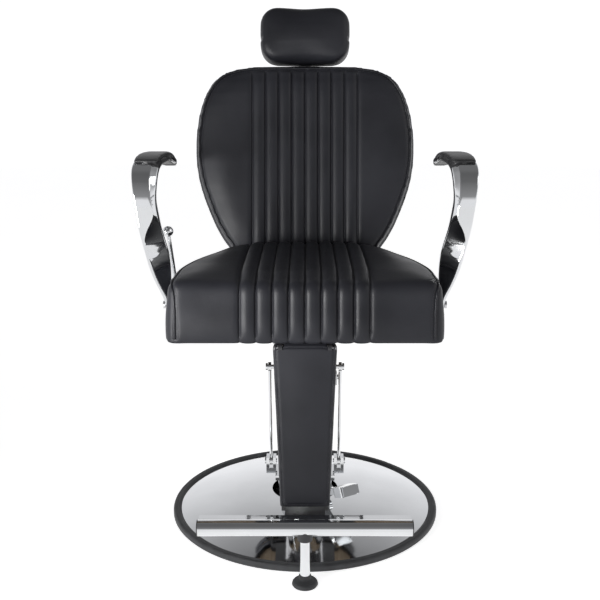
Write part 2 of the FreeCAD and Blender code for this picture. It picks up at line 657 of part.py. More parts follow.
def make_legrest():
    shaft = cross_pin(LEG_SHAFT_R, LEG_PIVOT, -LEG_TOP_HALF_W + 2, LEG_TOP_HALF_W - 2)
    save("legrest_shaft", shaft)
    slots = []
    for side in (-1, 1):
        middle = side * (LEG_PLATE_X + LEG_PLATE_T / 2)
        half = LEG_PLATE_T / 2 + 1
        shape = leg_prism(-9, LEG_BACK_N + 2, -14, 18, half, half)
        slots.append(shape.translate(V(middle, 0, 0)))
    slots = Part.makeCompound(slots)
    board = leg_prism(12, LEG_BACK_N, 12, LEG_END_U - 8, LEG_TOP_HALF_W - 6, LEG_END_HALF_W - 6)
    save("legrest_board", board.cut(slots))
    cushion = leg_prism(LEG_FRONT_N, LEG_BACK_N, 0, LEG_END_U, LEG_TOP_HALF_W, LEG_END_HALF_W)
    cushion = cushion.fuse(cross_pin(-LEG_FRONT_N, LEG_PIVOT, -LEG_TOP_HALF_W, LEG_TOP_HALF_W))
    cushion = cushion.fuse(leg_prism(0, LEG_BACK_N, -6, 1, LEG_TOP_HALF_W, LEG_TOP_HALF_W))
    pocket = leg_prism(11.8, LEG_BACK_N + 1, 11.8, LEG_END_U - 7.8,
                       LEG_TOP_HALF_W - 5.8, LEG_END_HALF_W - 5.8)
    save("legrest_cushion", cushion.cut(pocket).cut(shaft).cut(slots))
    hinge = cross_pin(5, FOOT_PIVOT, -52, 52)
    save("footrest_hinge_pin", hinge)
    corners = [on_leg(28, u, n) for u, n in
               ((FOOT_PIVOT_U - 24, LEG_BACK_N), (FOOT_PIVOT_U + 24, LEG_BACK_N),
                (FOOT_PIVOT_U + 9, FOOT_PIVOT_N + 6), (FOOT_PIVOT_U - 9, FOOT_PIVOT_N + 6))]
    ear = Part.Face(Part.makePolygon(corners + corners[:1])).extrude(V(8, 0, 0))
    ear = ear.fuse(cross_pin(10, FOOT_PIVOT, 28, 36)).cut(hinge)
    save("legrest_ears", both_sides(ear))

    # plates on the seat frame that carry the panel and the link rods
    bore = cross_pin(LEG_SHAFT_R + RUN, LEG_PIVOT, -200, 200)
    y, z = LEG_PIVOT.y, LEG_PIVOT.z
    top = HUB_TOP + SWIVEL_PLATE_T
    x0 = LEG_PLATE_X
    corners = [V(x0, py, pz) for py, pz in [
        (y, z + LEG_PLATE_R), (-262, z + 10), (-240, z + 10), (-238, top), (-200, top), (-200, 440),
        (LINK_TOP.y + 10, LINK_TOP.z - 11), (LINK_TOP.y - 10, LINK_TOP.z - 11),
        (LINK_TOP.y - 10, z - 15), (y, z - LEG_PLATE_R)]]
    nose = Part.Arc(corners[-1], V(x0, y - LEG_PLATE_R, z), corners[0]).toShape()
    outline = Part.Wire(Part.makePolygon(corners).Edges + [nose])
    plate = Part.Face(outline).extrude(V(LEG_PLATE_T, 0, 0))
    pin = cross_pin(LINK_PIN_R, LINK_TOP, x0 - 2, LINK_X + 6)
    pin = pin.fuse(cross_pin(7, LINK_TOP, LINK_X + 4, LINK_X + 8))
    save("link_top_pins", both_sides(pin))
    save("legrest_brackets", both_sides(plate.cut(bore).cut(pin)))


def make_links():
    rods = []
    for side in (1, -1):
        x0 = side * LINK_X - 3
        rod = cyl(3.5, shifted(LINK_TOP, side * LINK_X), shifted(LINK_LOW, side * LINK_X))
        rod = rod.fuse(cross_pin(9, LINK_TOP, x0, x0 + 6)).fuse(cross_pin(9, LINK_LOW, x0, x0 + 6))
        if side > 0:
            rod = rod.fuse(link_crank(x0))
        rod = rod.cut(cross_pin(LINK_PIN_R + RUN, LINK_TOP, -100, 100))
        rods.append(rod.cut(cross_pin(LINK_PIN_R + GAP, LINK_LOW, -100, 100)))
    save("link_rods", Part.makeCompound(rods))


def link_crank(x0):
    """Crank on the left-hand link rod that the drive rod pushes."""
    run = LINK_CRANK - LINK_TOP
    width = V(0, -run.z, run.y)
    width.normalize()
    corners = [LINK_TOP + width * 7, LINK_TOP - width * 7, LINK_CRANK - width * 6, LINK_CRANK + width * 6]
    corners = [shifted(c, x0) for c in corners]
    crank = Part.Face(Part.makePolygon(corners + corners[:1])).extrude(V(6, 0, 0))
    crank = crank.fuse(cross_pin(7, LINK_CRANK, x0, x0 + 6))
    return crank.fuse(cross_pin(5, LINK_CRANK, SLIDE_X - 5, x0 + 1))


# ---------------------------------------------------------------- footrest
def make_footrest():
    y = FOOT_PIVOT.y
    bore = cross_pin(5 + RUN, FOOT_PIVOT, -100, 100)
    x0, x1 = LEG_BAR_X, LEG_BAR_X + LEG_BAR_T
    leg = box(x0, x1, y - 10, y + 10, BEAM_Z0, FOOT_PIVOT.z)
    leg = leg.fuse(cross_pin(10, FOOT_PIVOT, x0, x1))
    save("footrest_legs", both_sides(leg.cut(bore)))
    ly, lz = LINK_LOW.y, LINK_LOW.z
    bracket = box(LINK_X - 10, LINK_X + 10, ly - 12, ly + 12, lz - 24, lz + 10)
    bracket = bracket.cut(box(LINK_X - 4, LINK_X + 4, ly - 13, ly + 13, lz - 13, lz + 11))
    bridge = box(x1, LINK_X - 10, y - 8, ly + 12, lz - 24, lz - 14)
    pin = cross_pin(LINK_PIN_R, LINK_LOW, LINK_X - 12, LINK_X + 13)
    pin = pin.fuse(cross_pin(6.5, LINK_LOW, LINK_X + 10, LINK_X + 13))
    save("link_brackets", both_sides(bracket.fuse(bridge).cut(pin)))
    save("link_lower_pins", both_sides(pin))

    beam = box(-x0, x0, TUBE_Y + 10, y + 10, BEAM_Z0, BEAM_Z1)
    gusset = box(-20, 20, TUBE_Y + 12, y - 12, BEAM_Z0 - 6, BEAM_Z0)
    tube_solid = cyl(TUBE_R, V(-TUBE_HALF, TUBE_Y, TUBE_Z), V(TUBE_HALF, TUBE_Y, TUBE_Z))
    post_hole = cyl(POST_R + 0.2, V(0, TUBE_Y, 0), V(0, TUBE_Y, TUBE_Z + 10))
    sleeve = cyl(POST_R + 5, V(0, TUBE_Y, 98), V(0, TUBE_Y, TUBE_Z))
    lug = box(-20, 20, TUBE_Y, TUBE_Y + 30, 102, BEAM_Z0)
    frame = beam.fuse(gusset).fuse(lug).fuse(sleeve).cut(tube_solid)
    save("footrest_beam", frame.cut(cyl(POST_R + RUN, V(0, TUBE_Y, 90), V(0, TUBE_Y, TUBE_Z))))
    bar = tube_solid.cut(cyl(TUBE_R - 2, V(-TUBE_HALF, TUBE_Y, TUBE_Z), V(TUBE_HALF, TUBE_Y, TUBE_Z)))
    save("footrest_bar", bar.cut(post_hole))
    end = V(TUBE_HALF, TUBE_Y, TUBE_Z)
    plug = cyl(TUBE_R - 2.1, end - V(14, 0, 0), end)
    save("footrest_caps", both_sides(plug.fuse(cyl(TUBE_R - 0.5, end, end + V(2, 0, 0)))))
    tread = box(-TUBE_HALF, TUBE_HALF, TUBE_Y + 10, -322, BEAM_Z1, BEAM_Z1 + 4)
    save("footrest_tread", tread.cut(tube_solid))


def make_levelling_foot():
    save("foot_post", cyl(POST_R, V(0, TUBE_Y, 14), V(0, TUBE_Y, POST_TOP)))
    pad = spun([(0, 0), (PAD_R - 2, 0), (PAD_R, 3), (PAD_R - 1, 7), (PAD_R - 8, 11, PAD_R - 3.5, 9.8),
                (12, 14), (12, 22), (POST_R, 22), (POST_R, 14), (0, 14)])
    save("foot_pad", pad.translate(V(0, TUBE_Y, 0)))


def main():
    os.makedirs("parts", exist_ok=True)
    make_base()
    make_pedal()
    make_lift()
    arm_bolts = make_seat()
    make_back_mounts()
    make_arms(arm_bolts)
    make_lever()
    make_back()
    make_headrest()
    make_slides()
    make_legrest()
    make_links()
    make_footrest()
    make_levelling_foot()


main()
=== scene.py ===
"""Upholstery, finishes and studio stage of a reclining hydraulic barber chair.

Metres, +Z up. The floor is z = 0 on the pump's axis. The chair faces -Y.
"""

import json
import math

import bmesh
import bpy
import numpy as np
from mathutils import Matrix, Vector
from mathutils.bvhtree import BVHTree
from mathutils.kdtree import KDTree


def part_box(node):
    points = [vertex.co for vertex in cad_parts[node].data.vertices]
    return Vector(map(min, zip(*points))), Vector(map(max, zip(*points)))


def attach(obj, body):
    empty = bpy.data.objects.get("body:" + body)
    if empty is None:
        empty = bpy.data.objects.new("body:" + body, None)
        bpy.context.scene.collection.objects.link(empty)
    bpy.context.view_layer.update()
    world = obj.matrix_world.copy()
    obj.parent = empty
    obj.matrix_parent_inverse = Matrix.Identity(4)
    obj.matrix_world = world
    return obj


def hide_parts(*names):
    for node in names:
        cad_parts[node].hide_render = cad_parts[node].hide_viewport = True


bl_info = {
    "name": "Hydraulic barber chair",
    "version": (1, 0, 0),
    "blender": (4, 5, 0),
    "location": "3D View > Sidebar > Barber chair",
    "description": "Upholstery, metal finishes and stage of a reclining barber chair",
    "category": "Object",
}

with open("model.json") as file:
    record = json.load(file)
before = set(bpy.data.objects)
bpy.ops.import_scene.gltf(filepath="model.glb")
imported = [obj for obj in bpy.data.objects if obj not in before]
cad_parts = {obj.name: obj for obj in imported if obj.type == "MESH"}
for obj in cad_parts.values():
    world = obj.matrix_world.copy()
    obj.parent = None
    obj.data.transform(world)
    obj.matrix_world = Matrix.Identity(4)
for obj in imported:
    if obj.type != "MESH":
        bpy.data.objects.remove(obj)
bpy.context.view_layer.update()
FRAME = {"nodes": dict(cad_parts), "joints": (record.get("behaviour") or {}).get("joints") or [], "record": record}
JOINTS = {joint["name"]: joint for joint in FRAME["joints"]}
BACK_PIVOT = Vector(JOINTS["recline"]["pos_m"])
BACK_TILT = math.radians(12)
LEG_PIVOT = Vector(JOINTS["legrest_hinge"]["pos_m"])
LEG_TILT = math.radians(3)
SWELL_FRAMES = 20
SWELL_PRESSURE = 4.0
EVEN_ROUNDS = 40
SEAM_LINES = (-0.0045, -0.0015, 0, 0.0015, 0.0045)
HEM_DROP = 0.006
PAD_EDGE = (0.344, -0.13, 0.8155)
PAD_SLOPE = (0.36, 0.10)


# ---------------------------------------------------------------- settings
class UpholsterySettings(bpy.types.PropertyGroup):
    """Sizes and colours of the upholstery."""

    vinyl_colour: bpy.props.FloatVectorProperty(
        name="Vinyl colour", description="Colour of the vinyl cover", subtype="COLOR", size=3,
        min=0.0, max=1.0, default=(0.0110, 0.0113, 0.0142))
    pad_colour: bpy.props.FloatVectorProperty(
        name="Arm pad colour", description="Colour of the moulded arm pads", subtype="COLOR",
        size=3, min=0.0, max=1.0, default=(0.016, 0.016, 0.017))
    grain_size: bpy.props.FloatProperty(
        name="Grain", description="Width of one grain of the vinyl", unit="LENGTH",
        default=0.0014)
    channel_pitch: bpy.props.FloatProperty(
        name="Channel pitch", description="Distance between the sewn channels", unit="LENGTH",
        default=0.0315)
    channel_depth: bpy.props.FloatProperty(
        name="Channel depth", description="How far a channel's seam is pulled in",
        unit="LENGTH", default=0.0048)
    channel_crown: bpy.props.FloatProperty(
        name="Channel crown", description="How far the foam stands up between two seams",
        unit="LENGTH", default=0.0022)
    welt_radius: bpy.props.FloatProperty(
        name="Welt radius", description="Radius of the piping cord", unit="LENGTH",
        default=0.0028)
    stitch_pitch: bpy.props.FloatProperty(
        name="Stitch pitch", description="Distance between two stitches", unit="LENGTH",
        default=0.0052)


class MetalSettings(bpy.types.PropertyGroup):
    """Colours of the metal, rubber and wood."""

    chrome_colour: bpy.props.FloatVectorProperty(
        name="Chrome colour", description="Colour of the chrome plate", subtype="COLOR", size=3,
        min=0.0, max=1.0, default=(0.68, 0.69, 0.70))
    steel_colour: bpy.props.FloatVectorProperty(
        name="Steel colour", description="Colour of the zinc plated steel", subtype="COLOR",
        size=3, min=0.0, max=1.0, default=(0.52, 0.52, 0.53))
    paint_colour: bpy.props.FloatVectorProperty(
        name="Paint colour", description="Colour of the powder coat", subtype="COLOR", size=3,
        min=0.0, max=1.0, default=(0.018, 0.018, 0.020))
    rubber_colour: bpy.props.FloatVectorProperty(
        name="Rubber colour", description="Colour of the rubber ring and foot",
        subtype="COLOR", size=3, min=0.0, max=1.0, default=(0.034, 0.035, 0.037))
    plywood_colour: bpy.props.FloatVectorProperty(
        name="Plywood colour", description="Colour of the plywood boards", subtype="COLOR",
        size=3, min=0.0, max=1.0, default=(0.30, 0.23, 0.16))


class StageSettings(bpy.types.PropertyGroup):
    """Floor, lights and camera."""

    floor_radius: bpy.props.FloatProperty(
        name="Floor radius", description="Radius of the studio floor", unit="LENGTH",
        default=9.0)
    key_power: bpy.props.FloatProperty(
        name="Key light", description="Power of the low front left light in watts",
        default=5.2)
    side_power: bpy.props.FloatProperty(
        name="Side light", description="Power of the right side light in watts", default=6.0)
    camera_height: bpy.props.FloatProperty(
        name="Camera height", description="Height of the camera above the floor",
        unit="LENGTH", default=0.976)
    camera_distance: bpy.props.FloatProperty(
        name="Camera distance", description="Distance of the camera in front of the pump",
        unit="LENGTH", default=2.0)
    camera_pitch: bpy.props.FloatProperty(
        name="Camera pitch", description="How far the camera looks down", subtype="ANGLE",
        default=math.radians(13.5))
    lens: bpy.props.FloatProperty(
        name="Lens", description="Focal length in millimetres on a 36 mm sensor", default=55.5)


# ---------------------------------------------------------------- finishes
def add_node(tree, kind, options=None, **inputs):
    """Adds a node. An input is a value, or an output to link from; _ in its name is a space."""
    node = tree.nodes.new(kind)
    for key, value in (options or {}).items():
        setattr(node, key, value)
    for key, value in inputs.items():
        socket = node.inputs[key.replace("_", " ")]
        if isinstance(value, bpy.types.NodeSocket):
            tree.links.new(value, socket)
        else:
            socket.default_value = value
    return node


def new_finish(name, **constants):
    """Starts a material, and returns it with its tree, shader and object coordinates."""
    material = bpy.data.materials.new(name)
    material.use_nodes = True
    tree = material.node_tree
    shader = tree.nodes["Principled BSDF"]
    for key, value in constants.items():
        shader.inputs[key.replace("_", " ")].default_value = value
    coordinates = add_node(tree, "ShaderNodeTexCoord").outputs["Object"]
    return material, tree, shader, coordinates


def noise(tree, coordinates, scale, detail=3.0, stretch=(1, 1, 1)):
    """Noise from 0 to 1 at a scale per metre, stretched along the axes."""
    mapped = add_node(tree, "ShaderNodeMapping", Vector=coordinates, Scale=stretch)
    texture = add_node(tree, "ShaderNodeTexNoise", Vector=mapped.outputs[0], Scale=scale,
                       Detail=detail)
    return texture.outputs[0]


def spread(tree, value, low, high, start=0.3, end=0.7):
    """Spreads a 0 to 1 pattern between two values."""
    return add_node(tree, "ShaderNodeMapRange", Value=value, From_Min=start, From_Max=end,
                    To_Min=low, To_Max=high).outputs[0]


def two_tone(tree, shader, pattern, colour, change):
    """Varies a colour by a pattern, from itself to itself times a change."""
    mix = tree.nodes.new("ShaderNodeMix")
    mix.data_type = "RGBA"
    tree.links.new(pattern, mix.inputs[0])
    mix.inputs[6].default_value = (*colour, 1)
    mix.inputs[7].default_value = (*[min(1.0, c * change) for c in colour], 1)
    tree.links.new(mix.outputs[2], shader.inputs["Base Color"])


def raise_grain(tree, shader, height, depth, strength):
    """Sets the shader's bump from a height pattern."""
    bump = add_node(tree, "ShaderNodeBump", Height=height, Distance=depth, Strength=strength)
    tree.links.new(bump.outputs[0], shader.inputs["Normal"])


def weighted(tree, first, second, share):
    """First pattern plus a share of the second."""
    node = tree.nodes.new("ShaderNodeMath")
    node.operation = "MULTIPLY_ADD"
    tree.links.new(second, node.inputs[0])
    node.inputs[1].default_value = share
    tree.links.new(first, node.inputs[2])
    return node.outputs[0]


def vinyl_finish(name, colour, grain_size, roughness=(0.40, 0.54)):
    """Embossed vinyl: fine pebbled grain, soft creases and an uneven satin."""
    material, tree, shader, where = new_finish(
        name, Specular_IOR_Level=0.26)
    cells = add_node(tree, "ShaderNodeTexVoronoi", {"feature": "SMOOTH_F1"}, Vector=where,
                     Scale=1 / grain_size, Smoothness=0.4).outputs["Distance"]
    creases = noise(tree, where, 90, 5)
    cloud = noise(tree, where, 9, 3)
    two_tone(tree, shader, spread(tree, cloud, 0, 1), colour, 1.5)
    tree.links.new(spread(tree, cloud, *roughness), shader.inputs["Roughness"])
    raise_grain(tree, shader, weighted(tree, cells, creases, 1.4), 0.0004, 0.3)
    return material


def pad_finish(name, colour):
    """Moulded urethane with a fine matt texture."""
    material, tree, shader, where = new_finish(name, Specular_IOR_Level=0.4)
    fine = noise(tree, where, 1500, 2)
    worn = noise(tree, where, 16, 3)
    two_tone(tree, shader, spread(tree, worn, 0, 1), colour, 1.6)
    tree.links.new(spread(tree, worn, 0.38, 0.5), shader.inputs["Roughness"])
    raise_grain(tree, shader, fine, 0.0002, 0.35)
    return material


def chrome_finish(name, colour):
    """Polished chrome plate with faint wiping marks."""
    material, tree, shader, where = new_finish(name, Metallic=1.0)
    smudge = noise(tree, where, 11, 4)
    wiping = noise(tree, where, 260, 2, (1, 1, 0.08))
    two_tone(tree, shader, spread(tree, smudge, 0, 1), colour, 1.08)
    tree.links.new(spread(tree, smudge, 0.035, 0.085), shader.inputs["Roughness"])
    raise_grain(tree, shader, wiping, 0.00002, 0.2)
    return material


def steel_finish(name, colour):
    """Zinc plated steel with drawing lines."""
    material, tree, shader, where = new_finish(name, Metallic=1.0)
    lines = noise(tree, where, 900, 2, (1, 1, 0.03))
    bloom = noise(tree, where, 40, 4)
    two_tone(tree, shader, spread(tree, bloom, 0, 1), colour, 1.25)
    tree.links.new(spread(tree, bloom, 0.24, 0.4), shader.inputs["Roughness"])
    raise_grain(tree, shader, lines, 0.00005, 0.3)
    return material


def paint_finish(name, colour):
    """Satin powder coat with orange peel and a little dust."""
    material, tree, shader, where = new_finish(name, Specular_IOR_Level=0.45)
    peel = noise(tree, where, 520, 2)
    dust = noise(tree, where, 22, 4)
    two_tone(tree, shader, spread(tree, dust, 0, 1, 0.45, 0.8), colour, 2.0)
    tree.links.new(spread(tree, dust, 0.32, 0.48), shader.inputs["Roughness"])
    raise_grain(tree, shader, peel, 0.0002, 0.25)
    return material


def rubber_finish(name, colour):
    """Moulded rubber, matt, with fine pores and scuffs."""
    material, tree, shader, where = new_finish(name, Specular_IOR_Level=0.35)
    pores = noise(tree, where, 1100, 3)
    scuffs = noise(tree, where, 34, 5)
    two_tone(tree, shader, spread(tree, scuffs, 0, 1, 0.4, 0.75), colour, 1.7)
    tree.links.new(spread(tree, scuffs, 0.5, 0.68), shader.inputs["Roughness"])
    raise_grain(tree, shader, weighted(tree, pores, scuffs, 0.6), 0.0003, 0.3)
    return material


def plywood_finish(name, colour):
    """Plywood with grain along the board and thin plies at its edges."""
    material, tree, shader, where = new_finish(name, Specular_IOR_Level=0.3)
    grain = noise(tree, where, 120, 4, (1, 0.06, 1))
    plies = add_node(tree, "ShaderNodeTexWave", {"bands_direction": "Z"}, Vector=where,
                     Scale=110.0, Distortion=0.6, Detail=2.0).outputs[1]
    pattern = weighted(tree, spread(tree, grain, 0, 0.7), plies, 0.3)
    two_tone(tree, shader, pattern, colour, 0.55)
    tree.links.new(spread(tree, grain, 0.6, 0.75), shader.inputs["Roughness"])
    raise_grain(tree, shader, grain, 0.0003, 0.3)
    return material


def give(piece, material):
    """Puts one material on every face of a piece."""
    slots = piece.data.materials
    if not slots:
        slots.append(material)
    for index in range(len(slots)):
        slots[index] = material


def finish_named(name):
    """A material made by the finishes operator."""
    return bpy.data.materials[name]


# ---------------------------------------------------------------- mesh helpers
def only(piece):
    """Selects one piece and makes it active."""
    bpy.ops.object.select_all(action="DESELECT")
    piece.select_set(True)
    bpy.context.view_layer.objects.active = piece


def points_of(mesh):
    """Vertex places as rows."""
    places = np.zeros(len(mesh.vertices) * 3)
    mesh.vertices.foreach_get("co", places)
    return places.reshape(-1, 3)


def normals_of(mesh):
    """Vertex normals as rows."""
    normals = np.zeros(len(mesh.vertices) * 3)
    mesh.vertex_normals.foreach_get("vector", normals)
    return normals.reshape(-1, 3)


def put_points(mesh, places):
    """Writes vertex places back."""
    mesh.vertices.foreach_set("co", np.ascontiguousarray(places, np.float32).ravel())
    mesh.update()


def apply_modifier(piece, kind, **options):
    """Adds a modifier, sets it and applies it."""
    modifier = piece.modifiers.new(kind.title(), kind)
    for key, value in options.items():
        setattr(modifier, key, value)
    only(piece)
    bpy.ops.object.modifier_apply(modifier=modifier.name)


def welded_copy(name, *nodes):
    """One new object with the welded meshes of some CAD nodes."""
    mesh = bpy.data.meshes.new(name)
    shell = bmesh.new()
    for node in nodes:
        shell.from_mesh(FRAME["nodes"][node].data)
    bmesh.ops.remove_doubles(shell, verts=shell.verts, dist=1e-5)
    shell.to_mesh(mesh)
    shell.free()
    piece = bpy.data.objects.new(name, mesh)
    bpy.context.scene.collection.objects.link(piece)
    return piece


def keep_side(piece, place, normal):
    """Cuts a closed piece with a plane, keeps the side the normal points to, and closes it."""
    shell = bmesh.new()
    shell.from_mesh(piece.data)
    geometry = shell.verts[:] + shell.edges[:] + shell.faces[:]
    cut = bmesh.ops.bisect_plane(shell, geom=geometry, plane_co=place, plane_no=normal,
                                 clear_inner=True)
    edges = [item for item in cut["geom_cut"] if isinstance(item, bmesh.types.BMEdge)]
    bmesh.ops.holes_fill(shell, edges=edges, sides=0)
    shell.to_mesh(piece.data)
    shell.free()


def remeshed(name, nodes, voxel, rounds):
    """A voxel skin over CAD solids, its edges softened."""
    piece = welded_copy(name, *nodes)
    apply_modifier(piece, "REMESH", mode="VOXEL", voxel_size=voxel)
    apply_modifier(piece, "SMOOTH", factor=0.5, iterations=rounds)
    return piece


def evened(mesh, moves, rounds):
    """Averages each point's move with its neighbours' moves, a number of times."""
    ends = np.zeros(len(mesh.edges) * 2, np.int32)
    mesh.edges.foreach_get("vertices", ends)
    first, second = ends.reshape(-1, 2).T
    count = 1 + np.bincount(ends, minlength=len(moves))
    for _ in range(rounds):
        total = moves.copy()
        for axis in range(3):
            total[:, axis] += np.bincount(first, moves[second, axis], len(moves))
            total[:, axis] += np.bincount(second, moves[first, axis], len(moves))
        moves = total / count[:, None]
    return moves


def swell(piece, held, shrink, cap):
    """Blows the cover up over its foam, caps how far each point moves, and evens the moves out.

    The held points stay where they are: they rest on the board. The free points move out by
    the shrink on average, so the cushion keeps the size of its CAD solid.
    """
    mesh = piece.data
    start = points_of(mesh)
    normals = normals_of(mesh)
    free = ~held
    start[free] -= normals[free] * shrink
    put_points(mesh, start)
    group = piece.vertex_groups.new(name="held")
    group.add(np.flatnonzero(held).tolist(), 1.0, "REPLACE")
    only(piece)
    cover = piece.modifiers.new("Cover", "CLOTH")
    cover.settings.use_pressure = True
    cover.settings.uniform_pressure_force = SWELL_PRESSURE
    cover.settings.effector_weights.gravity = 0.0
    cover.settings.vertex_group_mass = "held"
    cover.settings.bending_stiffness = 1.5
    cover.point_cache.frame_start = 1
    cover.point_cache.frame_end = SWELL_FRAMES
    for frame in range(1, SWELL_FRAMES + 1):
        bpy.context.scene.frame_set(frame)
    graph = bpy.context.evaluated_depsgraph_get()
    moved = points_of(piece.evaluated_get(graph).data) - start
    length = np.linalg.norm(moved, axis=1, keepdims=True)
    moved = evened(mesh, moved * np.minimum(1.0, cap / np.maximum(length, 1e-9)),
                   EVEN_ROUNDS)
    outward = np.sum(moved * normals, axis=1)[free].mean()
    moved[free] += normals[free] * (shrink - outward)
    moved[held] = 0
    put_points(mesh, start + moved)
    piece.modifiers.remove(cover)
    piece.vertex_groups.clear()
    bpy.context.scene.frame_set(1)


def cut_lines(piece, seams, offsets):
    """Adds edge loops along planes of constant x, on and beside each seam."""
    shell = bmesh.new()
    shell.from_mesh(piece.data)
    for seam in seams:
        for offset in offsets:
            geometry = shell.verts[:] + shell.edges[:] + shell.faces[:]
            bmesh.ops.bisect_plane(shell, geom=geometry, dist=2e-5,
                                   plane_co=(seam + offset, 0, 0), plane_no=(1, 0, 0))
    shell.to_mesh(piece.data)
    shell.free()


def channel_seams():
    """The x places of the nine channel seams."""
    pitch = bpy.context.scene.barber_upholstery.channel_pitch
    return [pitch * k for k in range(-4, 5)]


def sew_channels(piece, weight):
    """Pulls the channel seams in and crowns the foam between them, by a 0 to 1 weight."""
    look = bpy.context.scene.barber_upholstery
    places = points_of(piece.data)
    normals = normals_of(piece.data)
    across = places[:, 0] / look.channel_pitch
    nearest = np.clip(np.round(across), -4, 4)
    off = np.abs(across - nearest) * look.channel_pitch
    groove = np.exp(-(off / 0.0022) ** 2) * 0.55 + np.exp(-(off / 0.0062) ** 2) * 0.45
    inside = np.clip((4.0 - np.abs(across)) / 0.4, 0, 1)
    crown = np.clip(1 - (2 * off / look.channel_pitch - 1) ** 2, 0, 1) * inside
    height = look.channel_crown * crown - look.channel_depth * groove
    put_points(piece.data, places + normals * (height * weight)[:, None])


def surface_of(piece):
    """A search tree over a piece's faces."""
    return BVHTree.FromObject(piece, bpy.context.evaluated_depsgraph_get())


def cast(tree, origins, direction):
    """Where rays from some points first meet a surface, with the normals there."""
    found = []
    for origin in origins:
        place, normal, _, _ = tree.ray_cast(Vector(origin), Vector(direction))
        if place is not None:
            found.append((place, normal))
    return found


def snap(tree, guides):
    """The nearest places on a surface, with the normals there."""
    return [tree.find_nearest(Vector(guide))[:2] for guide in guides]


def even_path(points, step, closed=False):
    """Points spaced evenly along a line."""
    line = np.array([tuple(p) for p in points], float)
    if closed:
        line = np.vstack([line, line[:1]])
    lengths = np.linalg.norm(np.diff(line, axis=0), axis=1)
    along = np.concatenate([[0], np.cumsum(lengths)])
    count = max(3, int(along[-1] / step) + 1)
    spots = np.linspace(0, along[-1], count, endpoint=not closed)
    return np.column_stack([np.interp(spots, along, line[:, i]) for i in range(3)])


def rounded_path(guides, rounds=3):
    """A guide line with its corners rounded off by cutting them."""
    line = np.array([tuple(g) for g in guides], float)
    for _ in range(rounds):
        ahead = line[1:] * 0.25 + line[:-1] * 0.75
        behind = line[1:] * 0.75 + line[:-1] * 0.25
        middle = np.empty((2 * len(ahead), 3))
        middle[0::2] = ahead
        middle[1::2] = behind
        line = np.vstack([line[:1], middle, line[-1:]])
    return line


def press(piece, path, depth, width):
    """Pulls the surface in along a line."""
    tree = KDTree(len(path))
    for index, point in enumerate(path):
        tree.insert(point, index)
    tree.balance()
    places = points_of(piece.data)
    normals = normals_of(piece.data)
    low = np.min(path, axis=0) - 3 * width
    high = np.max(path, axis=0) + 3 * width
    near = np.flatnonzero(np.all((places > low) & (places < high), axis=1))
    for index in near:
        away = tree.find(places[index])[2]
        if away < 3 * width:
            places[index] -= normals[index] * depth * math.exp(-(away / width) ** 2)
    put_points(piece.data, places)


def welt(name, path, radius, closed=False):
    """A round piping cord along a line."""
    curve = bpy.data.curves.new(name, "CURVE")
    curve.dimensions = "3D"
    curve.bevel_depth = radius
    curve.bevel_resolution = 3
    curve.use_fill_caps = True
    spline = curve.splines.new("POLY")
    spline.points.add(len(path) - 1)
    for point, place in zip(spline.points, path):
        point.co = (*place, 1)
    spline.use_cyclic_u = closed
    piece = bpy.data.objects.new(name, curve)
    bpy.context.scene.collection.objects.link(piece)
    only(piece)
    bpy.ops.object.convert(target="MESH")
    bpy.ops.object.shade_smooth()
    return bpy.context.view_layer.objects.active


def thread(name, path, normals, size):
    """Stitches along a line: short stitches lying in the vinyl, each along the line."""
    bpy.ops.object.select_all(action="DESELECT")
    bpy.ops.mesh.primitive_uv_sphere_add(segments=6, ring_count=4, radius=1.0)
    stitch = bpy.context.view_layer.objects.active
    shape = points_of(stitch.data) * np.array(size)
    faces = [tuple(face.vertices) for face in stitch.data.polygons]
    bpy.data.objects.remove(stitch)
    corners = []
    sides = []
    for index in range(len(path)):
        ahead = path[min(index + 1, len(path) - 1)] - path[max(index - 1, 0)]
        along = ahead / max(np.linalg.norm(ahead), 1e-9)
        up = np.array(normals[index])
        side = np.cross(up, along)
        side /= max(np.linalg.norm(side), 1e-9)
        up = np.cross(along, side)
        first = len(corners) * len(shape)
        corners.append(path[index] + shape @ np.vstack([along, side, up]))
        sides += [tuple(first + v for v in face) for face in faces]
    mesh = bpy.data.meshes.new(name)
    mesh.from_pydata(np.vstack(corners).tolist(), [], sides)
    mesh.update()
    piece = bpy.data.objects.new(name, mesh)
    bpy.context.scene.collection.objects.link(piece)
    only(piece)
    bpy.ops.object.shade_smooth()
    return piece


def sewn_line(name, piece, path, body, closed=False, sink=0.4, radius=None, groove=0.0030):
    """A welt set into a groove along a line on a padded piece."""
    look = bpy.context.scene.barber_upholstery
    size = radius or look.welt_radius
    even = even_path(path, 0.004, closed)
    press(piece, even, groove, size * 2.2)
    hits = snap(surface_of(piece), even)
    line = [np.array(place + normal * size * sink) for place, normal in hits]
    cord = welt(name, line, size, closed)
    give(cord, finish_named("welt_vinyl"))
    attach(cord, body)
    return cord


def stitched_line(name, piece, path, body, closed=False, groove=0.0009):
    """A row of stitches pressed into a padded piece."""
    look = bpy.context.scene.barber_upholstery
    even = even_path(path, look.stitch_pitch, closed)
    press(piece, even_path(path, 0.0025, closed), groove, 0.0018)
    hits = snap(surface_of(piece), even)
    row = thread(name, [np.array(place) for place, _ in hits],
                 [np.array(normal) for _, normal in hits], (0.0019, 0.00048, 0.00042))
    give(row, finish_named("thread"))
    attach(row, body)
    return row


